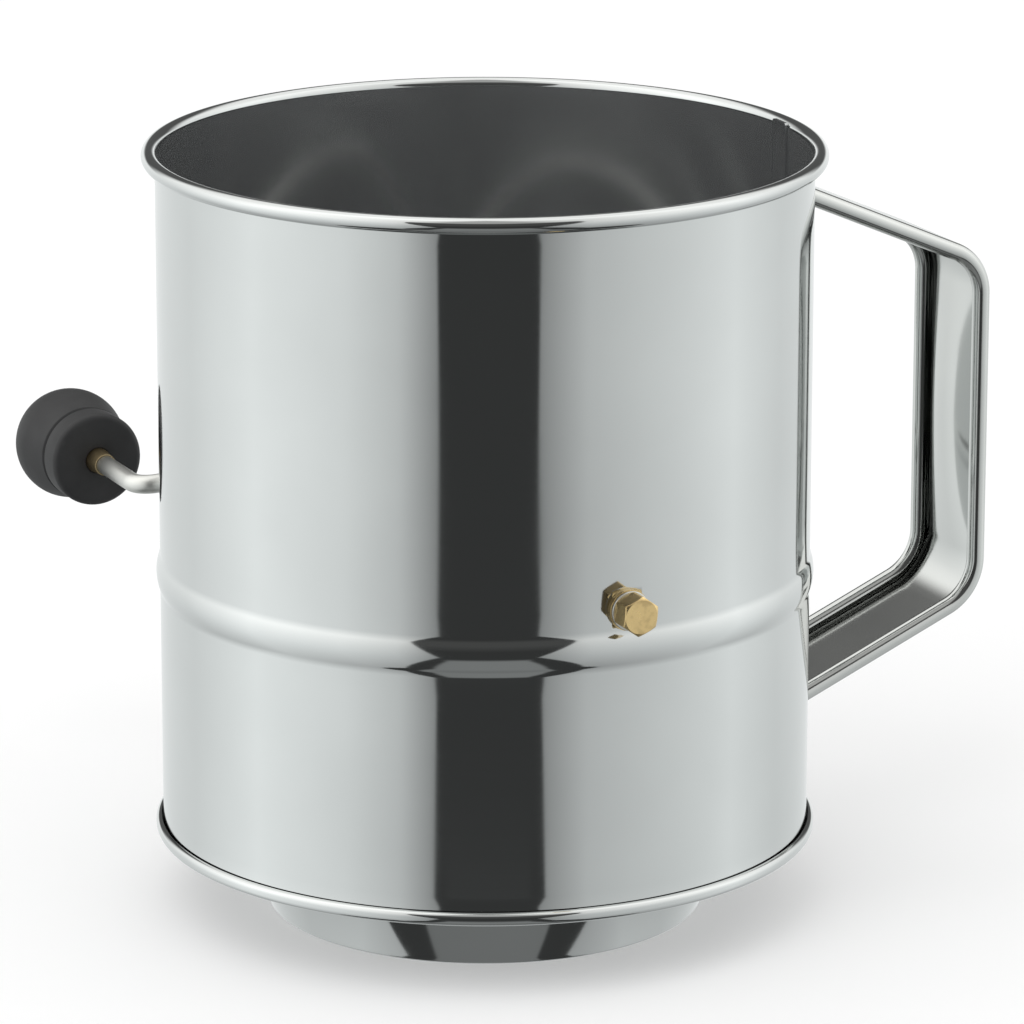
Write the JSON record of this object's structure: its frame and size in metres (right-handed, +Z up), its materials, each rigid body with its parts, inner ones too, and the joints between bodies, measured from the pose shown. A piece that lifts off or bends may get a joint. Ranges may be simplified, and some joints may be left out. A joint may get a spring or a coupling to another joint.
{
  "type": "crank flour sifter",
  "caption": "Polished steel cup-shaped flour sifter with a bowl screen, wire agitator turned by a side crank with a black knob, and a strap handle.",
  "frame": {"origin": "centre of the ring that the foot stands on", "axes": "+Z up along the body's axis, +X towards the handle, +Y along the crank axle towards the crank arm and knob"},
  "size_m": [0.2072, 0.2305, 0.184],
  "materials": {
    "polished_steel": "mirror-polished stainless sheet",
    "screen_wire": "fine woven stainless wire",
    "wire_steel": "satin drawn wire",
    "brass": "turned brass",
    "black_plastic": "matte moulded plastic"
  },
  "bodies": {
    "housing": {"body_shell": "polished_steel", "rim_wire": "wire_steel", "foot_pan": "polished_steel", "screen_ring": "polished_steel", "screen_mesh": "screen_wire", "front_bushing": "brass", "rear_bushing": "brass", "handle_strap": "polished_steel"},
    "crank": {"crank_rod": "wire_steel", "front_washer": "wire_steel", "rear_washer": "wire_steel", "axle_nut": "brass", "agitator_hub_front": "wire_steel", "agitator_hub_rear": "wire_steel", "agitator_wire_1": "wire_steel", "agitator_wire_2": "wire_steel", "agitator_wire_3": "wire_steel", "agitator_wire_4": "wire_steel", "knob_clip": "wire_steel"},
    "grip": {"knob": "black_plastic", "knob_ferrule": "brass"}
  },
  "joints": [
    {"name": "crank_turn", "type": "hinge", "parent": "housing", "child": "crank", "pos_m": [0, 0, 0.0915], "axis": [0, 1, 0], "continuous": true},
    {"name": "knob_spin", "type": "hinge", "parent": "crank", "child": "grip", "pos_m": [-0.05415, 0.12, 0.08629], "axis": [0, 1, 0], "continuous": true}
  ]
}
